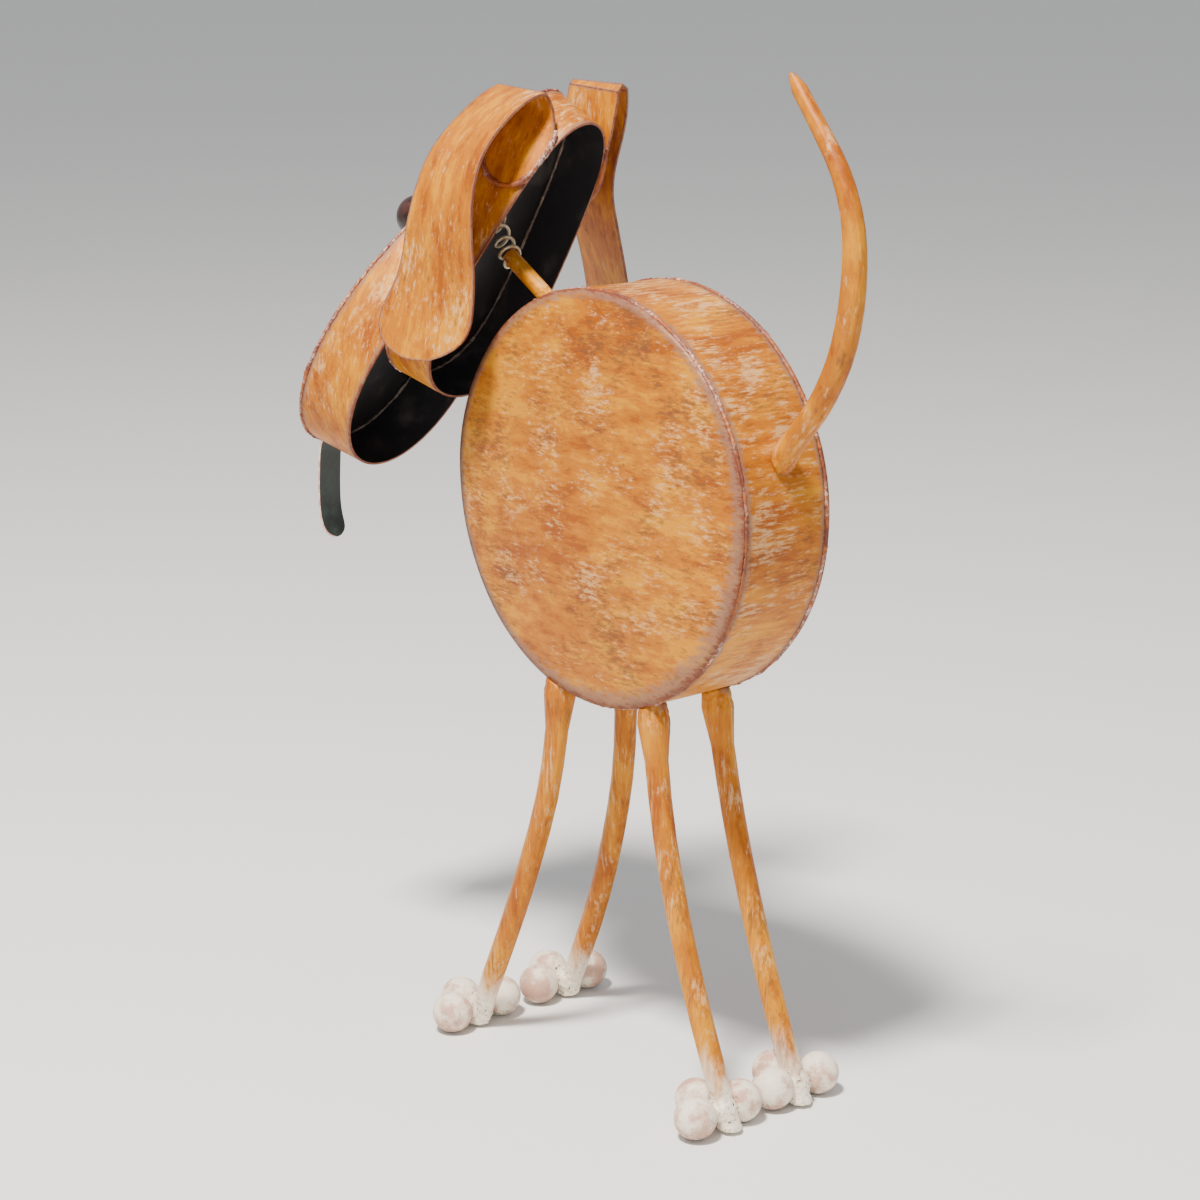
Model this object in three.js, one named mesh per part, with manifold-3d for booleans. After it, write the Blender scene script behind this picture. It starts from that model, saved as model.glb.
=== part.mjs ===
// A welded dog sculpture of sheet steel, tube and balls, with its head on a coil spring.
// Millimetres. The dog looks along -Y, its left side is +X and +Z is up.
// The origin is on the ground, in the middle of the sculpture's outline.
import * as THREE from 'three';
import { mergeVertices } from 'three/addons/utils/BufferGeometryUtils.js';
import Module from 'manifold-3d';

const wasm = await Module();
wasm.setup();

// Gap between pieces that are welded face to face
const CLEARANCE = 0.3;
// Wall of every sheet piece of the head
const SHEET = 1.5;

// Drum-shaped body: a rim between two domed plates
const BODY_LENGTH_RADIUS = 132.5;
const BODY_HEIGHT_RADIUS = 130;
const BODY_WIDTH = 66;
const BODY_HEIGHT = 378;
const FLANK_EDGE = 2;
const FLANK_DOME = 9;
const BODY_SIDES = 60;
const DOME_RINGS = 3;

// Toes: balls that each rest on a small worn flat
const TOE_RADIUS = 13.45;
const TOE_FLAT_RADIUS = 3;
const TOE_SIDES = 10;
const TOE_RINGS = 6;

// Legs: bowed tubes, each with a swelling of weld under the body and a cut-off lower end
const LEG_RADIUS = 7.3;
const LEG_WAIST_RADIUS = 6.8;
const LEG_FOOT_RADIUS = 8;
const LEG_COLLAR_RADIUS = 10.5;
const LEG_COLLAR_LENGTH = 13;
const LEG_SIDES = 9;
const LEG_STEPS = 12;
const LEG_END_HEIGHT = 2;
const WELD_LUMP_RADIUS = 10;
const WELD_LUMP_HEIGHT = 12;

// Legs end inside the body, this far below its middle, and are cut off at its rim
const LEG_TOP_DROP = 110;

// A foot: three toes as places across and along, and the leg as [across, along, share of its rise]
const FRONT_FOOT = {
  toes: { outer: [59.8, -116.7], middle: [38.5, -134.5], inner: [16.7, -118.3] },
  weld: [39, -114],
  leg: [
    [27, -41, 1], [28.6, -42, 0.877], [32, -48.5, 0.672], [35.8, -64, 0.466], [38.5, -82.5, 0.28],
    [39.5, -98, 0.149], [39.5, -117, -0.015],
  ],
};
const REAR_FOOT = {
  toes: { outer: [53.1, 114.5], middle: [33.3, 94.2], inner: [13.8, 113.3] },
  weld: [31.5, 115.5],
  leg: [
    [26, 43, 1], [27.4, 47.5, 0.877], [29.3, 58, 0.672], [30.3, 73.5, 0.466], [30.5, 91, 0.28],
    [30.4, 105, 0.149], [30.5, 124, -0.015],
  ],
};

// Tail: a bent rod from the rim to a rounded tip, as [along, height] from the rim's rearmost point
const TAIL_PATH = [
  [-13.5, 31], [5.5, 53.4], [25, 76.9], [40, 104.4], [47.5, 132], [49.9, 160.4],
  [47.5, 184.7], [37.7, 209.9], [19.7, 234.7], [-3.2, 263.2],
];
const TAIL_ROOT_RADIUS = 6.6;
const TAIL_FULL_RADIUS = 7.5;
const TAIL_TIP_RADIUS = 4.4;
const TAIL_COLLAR_RADIUS = 9;
const TAIL_SIDES = 10;
const TAIL_STEPS = 24;

// Neck: a straight tube out of the rim, open at its upper end
const NECK_RADIUS = 5.5;
const NECK_BORE_RADIUS = 4.2;
const NECK_BORE_DEPTH = 14;
const NECK_INSET = 9.4;
const NECK_RISE = 5.8;
const NECK_END = new THREE.Vector3(
  0,
  NECK_INSET - BODY_LENGTH_RADIUS,
  BODY_HEIGHT + BODY_HEIGHT_RADIUS + NECK_RISE,
);
const NECK_LENGTH = 66;
const NECK_COLLAR_RADIUS = 8;
const NECK_LEAN = 31.5;
const NECK_SIDES = 12;

// Spring: a coil round the neck's end that tapers to the skull plate
const SPRING_WIRE = 2;
const SPRING_ROOT_RADIUS = 7.2;
const SPRING_TIP_RADIUS = 5.4;
const SPRING_TURNS = 4;
const SPRING_OVERLAP = 5;
const SPRING_RISE = 18;
const SPRING_STEPS_PER_TURN = 11;
const SPRING_WIRE_SIDES = 5;

// Head: its centre is in the middle of the skull plate; it is turned, nodded up and cocked
const HEAD_FROM_NECK = new THREE.Vector3(3.3, -25.3, 12.2);
const HEAD_CENTRE = NECK_END.clone().add(HEAD_FROM_NECK);
const HEAD_TURN = 10;
const HEAD_NOD = -24.5;
const HEAD_COCK = 14;

// Pans: open-backed boxes with an egg-shaped face
const SKULL = {
  halfHeight: 100.6, halfWidth: 53, egg: -0.23, waist: 0.32, depth: 38.3, flare: 1.04,
  across: 0, up: 0, turn: 0,
};
const MUZZLE = {
  halfHeight: 95, halfWidth: 52, egg: -0.29, waist: -0.03, depth: 43.9, flare: 1.06,
  across: -16, up: -80, turn: -6.5,
};
const PAN_SIDES = 52;

// Ears: strips from a weld on the skull's rim, over an arch, to a hanging lobe.
// The rear edge's stations are [across, up, back] in the head; each has the strip's width,
// how far the width is turned outwards from straight ahead, in degrees, and how far it has
// come, from 0 where it follows the skull's rim to 1 where it hangs level.
const EAR_WELD_ANGLES = [66, 53, 40];
const EAR_WELD_WIDTH = 38;
const EAR_LEFT_STATIONS = [
  { edge: [28.5, 95, 28], width: 42, turn: 0, level: 0.2 },
  { edge: [37, 105, 21], width: 45, turn: 0, level: 0.8 },
  { edge: [50, 98, 20], width: 47, turn: 0, level: 0.95 },
  { edge: [64, 83, 22], width: 48, turn: 0, level: 1 },
  { edge: [76.6, 62, 26], width: 49, turn: 2, level: 1 },
  { edge: [80, 44, 32], width: 50, turn: 5, level: 1 },
  { edge: [78, 19, 43], width: 53, turn: 10, level: 1 },
  { edge: [69, -9, 57], width: 59, turn: 14, level: 1 },
  { edge: [65, -30, 66], width: 68, turn: 18, level: 1 },
  { edge: [63, -59, 78], width: 72, turn: 22, level: 1 },
];
// The right ear is bent to a narrower and higher crest, and hangs further out; it is listed mirrored
const EAR_RIGHT_STATIONS = [
  { edge: [24, 106, 35], width: 44, turn: 0, level: 0.5 },
  { edge: [21, 126, 29], width: 48, turn: 0, level: 0.95 },
  { edge: [33, 124, 28], width: 48, turn: 0, level: 1 },
  { edge: [47, 99, 31], width: 48, turn: 0, level: 1 },
  { edge: [55, 64, 36], width: 49, turn: 3, level: 1 },
  { edge: [68, 41, 47], width: 52, turn: 7, level: 1 },
  { edge: [84, 17, 58], width: 56, turn: 11, level: 1 },
  { edge: [96, -7, 70], width: 64, turn: 15, level: 1 },
  { edge: [103, -32, 78], width: 68, turn: 18, level: 1 },
];
const EAR_ROOT_ROUND = 18;
const EAR_LOBE_ROUND = 27;
const EAR_ROWS = 28;
const EAR_COLUMNS = 3;

// Eyes, nose and tongue
const EYE_RADIUS = 15.5;
const EYE_SPACING = 31.5;
const EYE_UP = 62;
const EYE_SEAT = 10;
const NOSE_WIDTH_RADIUS = 17;
const NOSE_HEIGHT_RADIUS = 12;
const NOSE_SEAT = 8;
const NOSE_UP = 12;
const BALL_SIDES = 14;
const BALL_RINGS = 6;
const TONGUE_WIDTH = 20;
const TONGUE_ROUND = 9;
// Tongue's centre line from the muzzle plate down, as [across, along, height] from the head's centre
const TONGUE_PATH = [
  [40, -107, -137], [41, -114, -149], [41, -116, -165], [41, -117, -186], [41, -115, -200], [41, -108, -213],
];
const TONGUE_ROWS = 12;
const TONGUE_COLUMNS = 2;

const finishes = {
  paint: new THREE.MeshStandardMaterial({ color: 0xc98a2c, roughness: 0.55, metalness: 0.35 }),
  toe: new THREE.MeshStandardMaterial({ color: 0xcfc3b4, roughness: 0.7, metalness: 0.2 }),
  wire: new THREE.MeshStandardMaterial({ color: 0x8d8776, roughness: 0.5, metalness: 0.7 }),
  eye: new THREE.MeshStandardMaterial({ color: 0x3a1c14, roughness: 0.35, metalness: 0.3 }),
  nose: new THREE.MeshStandardMaterial({ color: 0x14110f, roughness: 0.4, metalness: 0.2 }),
  tongue: new THREE.MeshStandardMaterial({ color: 0xa33a32, roughness: 0.55, metalness: 0.2 }),
};

const radians = THREE.MathUtils.degToRad;

// Geometry from a list of points and a list of faces, with shared corners
function closedGeometry(points, faces) {
  const geometry = new THREE.BufferGeometry();
  const numbers = points.flatMap((p) => [p.x, p.y, p.z]);
  geometry.setAttribute('position', new THREE.Float32BufferAttribute(numbers, 3));
  geometry.setIndex(faces.flat());
  return geometry;
}

function welded(geometry) {
  const bare = geometry.clone();
  bare.deleteAttribute('normal');
  bare.deleteAttribute('uv');
  return mergeVertices(bare, 1e-4);
}

function toSolid(geometry) {
  const bare = welded(geometry);
  return new wasm.Manifold(new wasm.Mesh({
    numProp: 3,
    vertProperties: new Float32Array(bare.attributes.position.array),
    triVerts: new Uint32Array(bare.index.array),
  }));
}

function fromSolid(solid) {
  const mesh = solid.getMesh();
  const geometry = new THREE.BufferGeometry();
  geometry.setAttribute('position', new THREE.BufferAttribute(new Float32Array(mesh.vertProperties), 3));
  geometry.setIndex(new THREE.BufferAttribute(new Uint32Array(mesh.triVerts), 1));
  return geometry;
}

// Adds a named piece to a group
function piece(group, name, geometry, finish) {
  const shown = geometry.index ? geometry.toNonIndexed() : geometry;
  shown.computeVertexNormals();
  const mesh = new THREE.Mesh(shown, finish);
  mesh.name = name;
  group.add(mesh);
  return mesh;
}

// Round bar along a curve, with a radius that depends on the share of its length
function bar(curve, radiusAt, sides, steps) {
  const frames = curve.computeFrenetFrames(steps, false);
  const points = [];
  const faces = [];
  for (let i = 0; i <= steps; i += 1) {
    const share = i / steps;
    const centre = curve.getPointAt(share);
    const radius = radiusAt(share);
    for (let k = 0; k < sides; k += 1) {
      const angle = (2 * Math.PI * k) / sides;
      const normal = frames.normals[i].clone().multiplyScalar(Math.cos(angle) * radius);
      const binormal = frames.binormals[i].clone().multiplyScalar(Math.sin(angle) * radius);
      points.push(centre.clone().add(normal).add(binormal));
    }
  }
  for (let i = 0; i < steps; i += 1) {
    for (let k = 0; k < sides; k += 1) {
      const a = i * sides + k;
      const b = i * sides + ((k + 1) % sides);
      faces.push([a, b, b + sides], [a, b + sides, a + sides]);
    }
  }
  const first = points.push(curve.getPointAt(0)) - 1;
  const last = points.push(curve.getPointAt(1)) - 1;
  for (let k = 0; k < sides; k += 1) {
    const next = (k + 1) % sides;
    faces.push([first, next, k], [last, steps * sides + k, steps * sides + next]);
  }
  return closedGeometry(points, faces);
}

// Ball with a flat cut across it, the flat in the plane y = 0 and the ball above it
function seatedBall(radius, seat, sides, rings) {
  const start = Math.acos(seat / radius);
  const profile = [new THREE.Vector2(0, 0)];
  for (let i = 0; i <= rings; i += 1) {
    const angle = Math.PI - start - ((Math.PI - start) * i) / rings;
    const outer = i === rings ? 0 : radius * Math.sin(angle);
    profile.push(new THREE.Vector2(outer, seat + radius * Math.cos(angle)));
  }
  return new THREE.LatheGeometry(profile, sides);
}

// Elliptical drum from one side plane to the other, grown by a margin, for the rim and for cutting
function drum(width, margin) {
  const profile = [[0, -width / 2], [1, -width / 2], [1, width / 2], [0, width / 2]];
  const shape = new THREE.LatheGeometry(profile.map(([r, h]) => new THREE.Vector2(r, h)), BODY_SIDES);
  shape.rotateZ(-Math.PI / 2);
  shape.scale(1, BODY_LENGTH_RADIUS + margin, BODY_HEIGHT_RADIUS + margin);
  shape.translate(0, 0, BODY_HEIGHT);
  return shape;
}

function flank() {
  const profile = [new THREE.Vector2(0, 0), new THREE.Vector2(1, 0)];
  for (let i = 0; i <= DOME_RINGS; i += 1) {
    const r = 1 - i / DOME_RINGS;
    profile.push(new THREE.Vector2(r, FLANK_EDGE + FLANK_DOME * (1 - r ** 2)));
  }
  const shape = new THREE.LatheGeometry(profile, BODY_SIDES);
  shape.rotateZ(-Math.PI / 2);
  shape.scale(1, BODY_LENGTH_RADIUS, BODY_HEIGHT_RADIUS);
  return shape;
}

const dog = new THREE.Group();
const bodyCutter = toSolid(drum(2 * BODY_WIDTH, CLEARANCE));

// Body
piece(dog, 'body_band', drum(BODY_WIDTH, 0), finishes.paint);
for (const [name, side] of [['flank_left', 1], ['flank_right', -1]]) {
  const plate = piece(dog, name, flank(), finishes.paint);
  plate.position.set(side * (BODY_WIDTH / 2 + CLEARANCE), 0, BODY_HEIGHT);
  plate.rotation.z = side > 0 ? 0 : Math.PI;
}

// Feet and legs
const toeSeat = Math.sqrt(TOE_RADIUS ** 2 - TOE_FLAT_RADIUS ** 2);
const seatScale = 1 + (1.2 * CLEARANCE) / TOE_RADIUS;
const floorBlock = new THREE.BoxGeometry(4 * BODY_WIDTH, 4 * BODY_LENGTH_RADIUS, 4 * TOE_RADIUS);
floorBlock.translate(0, 0, LEG_END_HEIGHT - 2 * TOE_RADIUS);
const floorCutter = toSolid(floorBlock);

function legRadius(share, length) {
  const fromTop = share * length;
  const fromEnd = (1 - share) * length;
  const collar = (LEG_COLLAR_RADIUS - LEG_RADIUS) * Math.exp(-((fromTop / LEG_COLLAR_LENGTH - 1.9) ** 2));
  const waist = (LEG_RADIUS - LEG_WAIST_RADIUS) * Math.exp(-(((fromEnd - 26) / 14) ** 2));
  const foot = (LEG_FOOT_RADIUS - LEG_RADIUS) * Math.exp(-((fromEnd / 8) ** 2));
  return LEG_RADIUS + collar - waist + foot;
}

function buildFoot(place, foot) {
  for (const [sideName, side] of [['left', 1], ['right', -1]]) {
    const prefix = `${place}_${sideName}`;
    const rise = BODY_HEIGHT - LEG_TOP_DROP;
    const stations = foot.leg.map(([x, y, share]) => new THREE.Vector3(side * x, y, share * rise));
    const curve = new THREE.CatmullRomCurve3(stations);
    const length = curve.getLength();
    const tube = toSolid(bar(curve, (share) => legRadius(share, length), LEG_SIDES, LEG_STEPS));
    const lump = new THREE.SphereGeometry(WELD_LUMP_RADIUS, LEG_SIDES, 8);
    lump.translate(side * foot.weld[0], foot.weld[1], WELD_LUMP_HEIGHT);
    let leg = tube.add(toSolid(lump)).subtract(bodyCutter).subtract(floorCutter);
    for (const [toeName, [x, y]] of Object.entries(foot.toes)) {
      const ball = seatedBall(TOE_RADIUS, toeSeat, TOE_SIDES, TOE_RINGS);
      const toe = piece(dog, `toe_${prefix}_${toeName}`, ball, finishes.toe);
      toe.rotation.x = Math.PI / 2;
      toe.position.set(side * x, y, 0);
      const seat = seatedBall(TOE_RADIUS, toeSeat, TOE_SIDES, TOE_RINGS).rotateX(Math.PI / 2);
      seat.translate(0, 0, -toeSeat);
      seat.scale(seatScale, seatScale, seatScale);
      seat.translate(side * x, y, toeSeat);
      leg = leg.subtract(toSolid(seat));
    }
    piece(dog, `leg_${prefix}`, fromSolid(leg), finishes.paint);
  }
}
buildFoot('front', FRONT_FOOT);
buildFoot('rear', REAR_FOOT);

// Tail
const tailStations = TAIL_PATH.map(([y, z]) => new THREE.Vector3(0, BODY_LENGTH_RADIUS + y, BODY_HEIGHT + z));
const tailCurve = new THREE.CatmullRomCurve3(tailStations);
function tailRadius(share) {
  const swell = TAIL_ROOT_RADIUS + (TAIL_FULL_RADIUS - TAIL_ROOT_RADIUS) * Math.min(share / 0.35, 1);
  const taper = (TAIL_FULL_RADIUS - TAIL_TIP_RADIUS) * THREE.MathUtils.smoothstep(share, 0.4, 1);
  const collar = (TAIL_COLLAR_RADIUS - TAIL_ROOT_RADIUS) * Math.exp(-(((share - 0.055) / 0.025) ** 2));
  const tip = share > 0.985 ? Math.sqrt(Math.max(1 - ((share - 0.985) / 0.016) ** 2, 0.1)) : 1;
  return (swell - taper + collar) * tip;
}
const tail = toSolid(bar(tailCurve, tailRadius, TAIL_SIDES, TAIL_STEPS)).subtract(bodyCutter);
piece(dog, 'tail', fromSolid(tail), finishes.paint);

// Neck and spring
const neckAxis = new THREE.Vector3(0, -Math.cos(radians(NECK_LEAN)), Math.sin(radians(NECK_LEAN)));
const alongNeck = new THREE.Quaternion().setFromUnitVectors(new THREE.Vector3(0, 1, 0), neckAxis);
const neckProfile = [
  [0, -NECK_LENGTH], [NECK_COLLAR_RADIUS, -NECK_LENGTH], [NECK_COLLAR_RADIUS, -NECK_LENGTH + 14],
  [NECK_RADIUS, -NECK_LENGTH + 20], [NECK_RADIUS, 0], [NECK_BORE_RADIUS, 0],
  [NECK_BORE_RADIUS, -NECK_BORE_DEPTH], [0, -NECK_BORE_DEPTH],
];
const neckShape = new THREE.LatheGeometry(neckProfile.map(([r, h]) => new THREE.Vector2(r, h)), NECK_SIDES);
neckShape.applyQuaternion(alongNeck);
neckShape.translate(NECK_END.x, NECK_END.y, NECK_END.z);
piece(dog, 'neck', fromSolid(toSolid(neckShape).subtract(bodyCutter)), finishes.paint);

// Head
const headTurn = new THREE.Euler(radians(HEAD_NOD), radians(-HEAD_COCK), radians(HEAD_TURN), 'ZXY');
const headQuaternion = new THREE.Quaternion().setFromEuler(headTurn);
const head = new THREE.Group();
head.position.copy(HEAD_CENTRE);
head.quaternion.copy(headQuaternion);
dog.add(head);

// A direction or an offset in the dog's frame, as the head sees it
function inHead(vector) {
  return vector.clone().applyQuaternion(headQuaternion.clone().invert());
}

const plateBack = inHead(NECK_END.clone().sub(HEAD_CENTRE));
const springTop = new THREE.Vector3(plateBack.x, SHEET + CLEARANCE + SPRING_WIRE, plateBack.z + SPRING_RISE)
  .applyQuaternion(headQuaternion).add(HEAD_CENTRE);
const springStart = NECK_END.clone().addScaledVector(neckAxis, -SPRING_OVERLAP);
const springBend = NECK_END.clone().addScaledVector(neckAxis, SPRING_RISE / 2);
const springAxis = new THREE.QuadraticBezierCurve3(springStart, springBend, springTop);

class Coil extends THREE.Curve {
  getPoint(share, target = new THREE.Vector3()) {
    const angle = share * SPRING_TURNS * 2 * Math.PI;
    const radius = THREE.MathUtils.lerp(SPRING_ROOT_RADIUS, SPRING_TIP_RADIUS, share);
    const ring = new THREE.Vector3(Math.cos(angle), 0, Math.sin(angle)).applyQuaternion(alongNeck);
    return target.copy(springAxis.getPoint(share)).addScaledVector(ring, radius);
  }
}
const wire = bar(new Coil(), () => SPRING_WIRE / 2, SPRING_WIRE_SIDES, SPRING_TURNS * SPRING_STEPS_PER_TURN);
piece(dog, 'neck_spring', wire, finishes.wire);

// Point on a pan's outline, in the head: an egg whose sides are drawn in or let out
function outlinePoint(pan, degrees, scale) {
  const angle = radians(degrees);
  const height = Math.cos(angle);
  const width = pan.halfWidth * (1 + pan.egg * height + pan.waist * (height ** 2 - 0.4));
  const turn = radians(pan.turn);
  const x = scale * width * Math.sin(angle);
  const z = scale * pan.halfHeight * height;
  return new THREE.Vector2(
    pan.across + x * Math.cos(turn) + z * Math.sin(turn),
    pan.up - x * Math.sin(turn) + z * Math.cos(turn),
  );
}

// Same point moved square to the outline, outwards when the offset is positive
function offsetPoint(pan, degrees, scale, offset) {
  const before = outlinePoint(pan, degrees - 1, scale);
  const after = outlinePoint(pan, degrees + 1, scale);
  const along = after.sub(before).normalize();
  return outlinePoint(pan, degrees, scale).add(new THREE.Vector2(-along.y, along.x).multiplyScalar(offset));
}

// Rim of a pan between two depths, back being +Y in the head
function panBand(pan, back, front) {
  const points = [];
  const faces = [];
  for (let i = 0; i < PAN_SIDES; i += 1) {
    const degrees = (360 * i) / PAN_SIDES;
    const corners = [[back, 1, 0], [front, pan.flare, 0], [front, pan.flare, -SHEET], [back, 1, -SHEET]];
    for (const [y, scale, offset] of corners) {
      const place = offsetPoint(pan, degrees, scale, offset);
      points.push(new THREE.Vector3(place.x, y, place.y));
    }
    const a = i * 4;
    const b = ((i + 1) % PAN_SIDES) * 4;
    for (let k = 0; k < 4; k += 1) {
      const next = (k + 1) % 4;
      faces.push([a + k, b + next, b + k], [a + k, a + next, b + next]);
    }
  }
  return closedGeometry(points, faces);
}

// Face plate of a pan, its back at the given depth
function panPlate(pan, back) {
  const rim = [];
  for (let i = 0; i < PAN_SIDES; i += 1) {
    rim.push(outlinePoint(pan, (360 * i) / PAN_SIDES, pan.flare));
  }
  const plate = new THREE.ExtrudeGeometry(new THREE.Shape(rim), { depth: SHEET, bevelEnabled: false });
  plate.rotateX(Math.PI / 2);
  plate.translate(0, back, 0);
  return plate;
}

piece(head, 'skull_plate', panPlate(SKULL, SHEET), finishes.paint);
piece(head, 'skull_band', panBand(SKULL, SKULL.depth, SHEET + CLEARANCE), finishes.paint);
piece(head, 'muzzle_band', panBand(MUZZLE, -CLEARANCE, -MUZZLE.depth + SHEET + CLEARANCE), finishes.paint);
piece(head, 'muzzle_plate', panPlate(MUZZLE, -MUZZLE.depth + SHEET), finishes.paint);

// Sheet between two edges, rounded off towards its ends
function strip(edgeA, edgeB, rows, columns, roundStart, roundEnd, mirror) {
  const middle = (share) => edgeA.getPoint(share).lerp(edgeB.getPoint(share), 0.5);
  const shareAt = (i) => i / rows - (0.09 * Math.sin((2 * Math.PI * i) / rows));
  const lengths = [0];
  for (let i = 1; i <= rows; i += 1) {
    lengths.push(lengths[i - 1] + middle(shareAt(i)).distanceTo(middle(shareAt(i - 1))));
  }
  const total = lengths[rows];
  const narrowing = (distance, round) => {
    const rest = Math.min(distance / round, 1);
    return Math.sqrt(Math.max(1 - (1 - rest) ** 2, 0.06));
  };
  const grid = [];
  for (let i = 0; i <= rows; i += 1) {
    const share = shareAt(i);
    const width = narrowing(lengths[i], roundStart) * narrowing(total - lengths[i], roundEnd);
    const row = [];
    for (let k = 0; k <= columns; k += 1) {
      const across = 0.5 + (k / columns - 0.5) * width;
      row.push(edgeA.getPoint(share).lerp(edgeB.getPoint(share), across));
    }
    grid.push(row);
  }
  const points = [];
  const half = SHEET / 2;
  for (let i = 0; i <= rows; i += 1) {
    for (let k = 0; k <= columns; k += 1) {
      const along = grid[Math.min(i + 1, rows)][k].clone().sub(grid[Math.max(i - 1, 0)][k]);
      const over = grid[i][Math.min(k + 1, columns)].clone().sub(grid[i][Math.max(k - 1, 0)]);
      const normal = over.cross(along).normalize();
      points.push(grid[i][k].clone().addScaledVector(normal, half));
      points.push(grid[i][k].clone().addScaledVector(normal, -half));
    }
  }
  const at = (i, k, under) => 2 * (i * (columns + 1) + k) + under;
  const faces = [];
  const quad = (a, b, c, d) => faces.push([a, b, c], [a, c, d]);
  for (let i = 0; i < rows; i += 1) {
    for (let k = 0; k < columns; k += 1) {
      quad(at(i, k, 0), at(i, k + 1, 0), at(i + 1, k + 1, 0), at(i + 1, k, 0));
      quad(at(i, k, 1), at(i + 1, k, 1), at(i + 1, k + 1, 1), at(i, k + 1, 1));
    }
    quad(at(i, 0, 0), at(i + 1, 0, 0), at(i + 1, 0, 1), at(i, 0, 1));
    quad(at(i, columns, 0), at(i, columns, 1), at(i + 1, columns, 1), at(i + 1, columns, 0));
  }
  for (let k = 0; k < columns; k += 1) {
    quad(at(0, k, 0), at(0, k, 1), at(0, k + 1, 1), at(0, k + 1, 0));
    quad(at(rows, k, 0), at(rows, k + 1, 0), at(rows, k + 1, 1), at(rows, k, 1));
  }
  if (mirror) {
    points.forEach((point) => point.setX(-point.x));
    faces.forEach((face) => face.reverse());
  }
  return closedGeometry(points, faces);
}

// Ears: the welded stretch follows the rim, and the rest hangs from it
const earOffset = CLEARANCE + SHEET / 2 + 0.5;
function earEdges(stations, side) {
  const rearEdge = [];
  const frontEdge = [];
  for (const degrees of EAR_WELD_ANGLES) {
    const rear = offsetPoint(SKULL, degrees, 1, earOffset);
    const front = offsetPoint(SKULL, degrees, SKULL.flare, earOffset);
    rearEdge.push(new THREE.Vector3(rear.x, SKULL.depth, rear.y));
    frontEdge.push(new THREE.Vector3(front.x, SKULL.depth - EAR_WELD_WIDTH, front.y));
  }
  for (const { edge: [across, up, back], width, turn, level } of stations) {
    const rear = new THREE.Vector3(across, back, up);
    const hanging = inHead(new THREE.Vector3(side * Math.sin(radians(turn)), -Math.cos(radians(turn)), 0));
    hanging.x *= side;
    const ahead = new THREE.Vector3(0, -1, 0).lerp(hanging, level).normalize();
    rearEdge.push(rear);
    frontEdge.push(rear.clone().addScaledVector(ahead, width));
  }
  return [new THREE.CatmullRomCurve3(rearEdge), new THREE.CatmullRomCurve3(frontEdge)];
}
const ears = [['ear_left', EAR_LEFT_STATIONS, 1], ['ear_right', EAR_RIGHT_STATIONS, -1]];
for (const [name, stations, side] of ears) {
  const [rear, front] = earEdges(stations, side);
  const ear = strip(rear, front, EAR_ROWS, EAR_COLUMNS, EAR_ROOT_ROUND, EAR_LOBE_ROUND, side < 0);
  piece(head, name, ear, finishes.paint);
}

// Eyes and nose sit on the muzzle plate, flat side down
const face = new THREE.Group();
face.position.set(MUZZLE.across, -MUZZLE.depth - CLEARANCE, MUZZLE.up);
face.rotation.y = radians(MUZZLE.turn);
head.add(face);
for (const [name, side] of [['eye_left', 1], ['eye_right', -1]]) {
  const eye = piece(face, name, seatedBall(EYE_RADIUS, EYE_SEAT, BALL_SIDES, BALL_RINGS), finishes.eye);
  eye.rotation.x = Math.PI;
  eye.position.set((side * EYE_SPACING) / 2, 0, EYE_UP);
}
const noseShape = seatedBall(NOSE_WIDTH_RADIUS, NOSE_SEAT, BALL_SIDES, BALL_RINGS);
noseShape.scale(1, 1, NOSE_HEIGHT_RADIUS / NOSE_WIDTH_RADIUS);
const nose = piece(face, 'nose', noseShape, finishes.nose);
nose.rotation.x = Math.PI;
nose.position.set(0, 0, NOSE_UP);

// Tongue: a strip that hangs plumb from the foot of the muzzle plate
const tongueAcross = new THREE.Vector3(Math.cos(radians(HEAD_TURN)), Math.sin(radians(HEAD_TURN)), 0);
tongueAcross.multiplyScalar(TONGUE_WIDTH / 2);
const tongueEdges = [-1, 1].map((side) => new THREE.CatmullRomCurve3(
  TONGUE_PATH.map(([x, y, z]) => inHead(new THREE.Vector3(x, y, z).addScaledVector(tongueAcross, side))),
));
const tongueStrip = strip(...tongueEdges, TONGUE_ROWS, TONGUE_COLUMNS, 1, TONGUE_ROUND, false);
piece(head, 'tongue', tongueStrip, finishes.tongue);

// Origin in the middle of the outline
dog.updateMatrixWorld(true);
const outline = new THREE.Box3().setFromObject(dog, true);
const group = new THREE.Group();
dog.position.set(-(outline.min.x + outline.max.x) / 2, -(outline.min.y + outline.max.y) / 2, 0);
group.add(dog);

export default group;
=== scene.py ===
"""A welded scrap metal dog with a nodding head, dressed for its portrait in a plain studio."""
import math
import random

import bmesh
import bpy
from mathutils import Matrix, Vector, noise
from mathutils.kdtree import KDTree


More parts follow.
